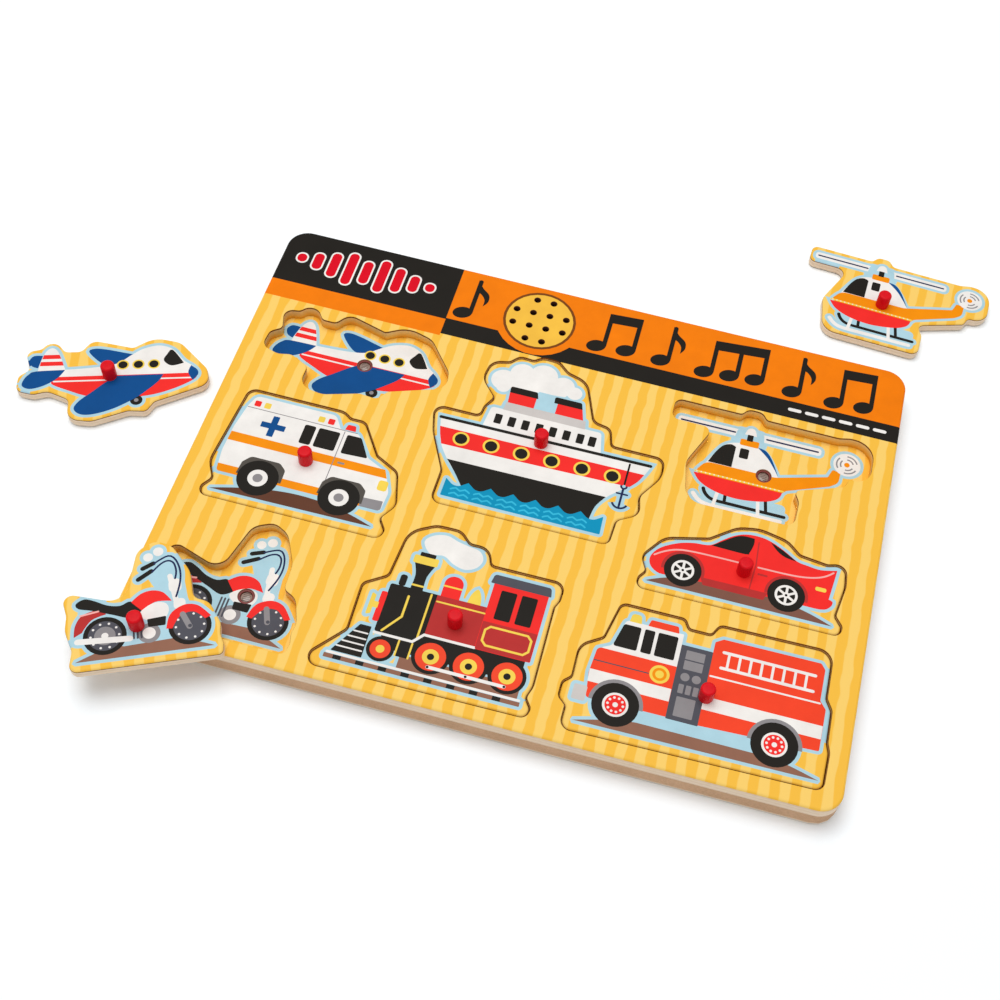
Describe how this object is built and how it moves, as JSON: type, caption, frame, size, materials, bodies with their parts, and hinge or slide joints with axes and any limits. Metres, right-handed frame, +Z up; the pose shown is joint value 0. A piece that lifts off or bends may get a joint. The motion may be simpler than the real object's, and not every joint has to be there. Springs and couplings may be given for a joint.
{
  "type": "sound puzzle",
  "caption": "Wooden board puzzle with vehicle pieces on red pegs; light sensors in the recesses trigger a speaker under a grille in the header band.",
  "frame": {"origin": "centre of the board's underside, on the table", "axes": "+X to the player's right along the long edge, +Y towards the header band, +Z up"},
  "size_m": [0.4348, 0.334, 0.0286],
  "materials": {
    "printed_wood": "printed and varnished, satin",
    "fibreboard": "sawn edge, matt",
    "plain_wood": "sanded, matt",
    "piece_blue": "printed and varnished, satin",
    "piece_white": "printed and varnished, satin",
    "piece_red": "printed and varnished, satin",
    "piece_orange": "printed and varnished, satin",
    "peg_red": "lacquered, satin",
    "sensor_grey": "smooth",
    "wire_red": "smooth sleeve",
    "laminate_green": "lacquered",
    "resin_black": "smooth",
    "steel": "pressed, bright",
    "paper_black": "matt paper",
    "plastic_black": "moulded, fine texture",
    "cell_grey": "smooth sleeve",
    "tin": "plated"
  },
  "bodies": {
    "board": {"face_plate": "printed_wood", "core_panel": "fibreboard", "back_panel": "plain_wood", "plane_sensor": "sensor_grey", "plane_lead": "wire_red", "ambulance_sensor": "sensor_grey", "ambulance_lead": "wire_red", "ship_sensor": "sensor_grey", "ship_lead": "wire_red", "helicopter_sensor": "sensor_grey", "helicopter_lead": "wire_red", "car_sensor": "sensor_grey", "car_lead": "wire_red", "train_sensor": "sensor_grey", "train_lead": "wire_red", "fire_engine_sensor": "sensor_grey", "fire_engine_lead": "wire_red", "motorcycle_sensor": "sensor_grey", "motorcycle_lead": "wire_red", "speaker_lead": "wire_red", "battery_lead": "wire_red", "sound_board": "laminate_green", "sound_chip": "resin_black", "speaker_basket": "steel", "speaker_cone": "paper_black", "speaker_magnet": "steel", "battery_tray": "plastic_black", "battery_cell_front": "cell_grey", "battery_cell_back": "cell_grey", "contact_link": "tin", "contact_front": "tin", "contact_back": "tin"},
    "plane": {"plane_piece": "piece_blue", "plane_peg": "peg_red"},
    "ambulance": {"ambulance_piece": "piece_white", "ambulance_peg": "peg_red"},
    "ship": {"ship_piece": "piece_red", "ship_peg": "peg_red"},
    "helicopter": {"helicopter_piece": "piece_orange", "helicopter_peg": "peg_red"},
    "car": {"car_piece": "piece_red", "car_peg": "peg_red"},
    "train": {"train_piece": "piece_red", "train_peg": "peg_red"},
    "fire_engine": {"fire_engine_piece": "piece_red", "fire_engine_peg": "peg_red"},
    "motorcycle": {"motorcycle_piece": "piece_red", "motorcycle_peg": "peg_red"},
    "door": {"battery_door": "plastic_black"},
    "screw": {"door_screw": "steel"}
  },
  "joints": [
    {"name": "plane_lift", "type": "slide", "parent": "board", "child": "plane", "axis": [0, 0, 1], "range_m": [0, 0.03]},
    {"name": "ambulance_lift", "type": "slide", "parent": "board", "child": "ambulance", "axis": [0, 0, 1], "range_m": [0, 0.03]},
    {"name": "ship_lift", "type": "slide", "parent": "board", "child": "ship", "axis": [0, 0, 1], "range_m": [0, 0.03]},
    {"name": "helicopter_lift", "type": "slide", "parent": "board", "child": "helicopter", "axis": [0, 0, 1], "range_m": [0, 0.03]},
    {"name": "car_lift", "type": "slide", "parent": "board", "child": "car", "axis": [0, 0, 1], "range_m": [0, 0.03]},
    {"name": "train_lift", "type": "slide", "parent": "board", "child": "train", "axis": [0, 0, 1], "range_m": [0, 0.03]},
    {"name": "fire_engine_lift", "type": "slide", "parent": "board", "child": "fire_engine", "axis": [0, 0, 1], "range_m": [0, 0.03]},
    {"name": "motorcycle_lift", "type": "slide", "parent": "board", "child": "motorcycle", "axis": [0, 0, 1], "range_m": [0, 0.03]},
    {"name": "door_lift_off", "type": "slide", "parent": "board", "child": "door", "axis": [0, 0, -1], "range_m": [0, 0.02]},
    {"name": "screw_turn", "type": "hinge", "parent": "door", "child": "screw", "pos_m": [0.08485, 0.09325, 0.001], "axis": [0, 0, 1], "continuous": true}
  ]
}
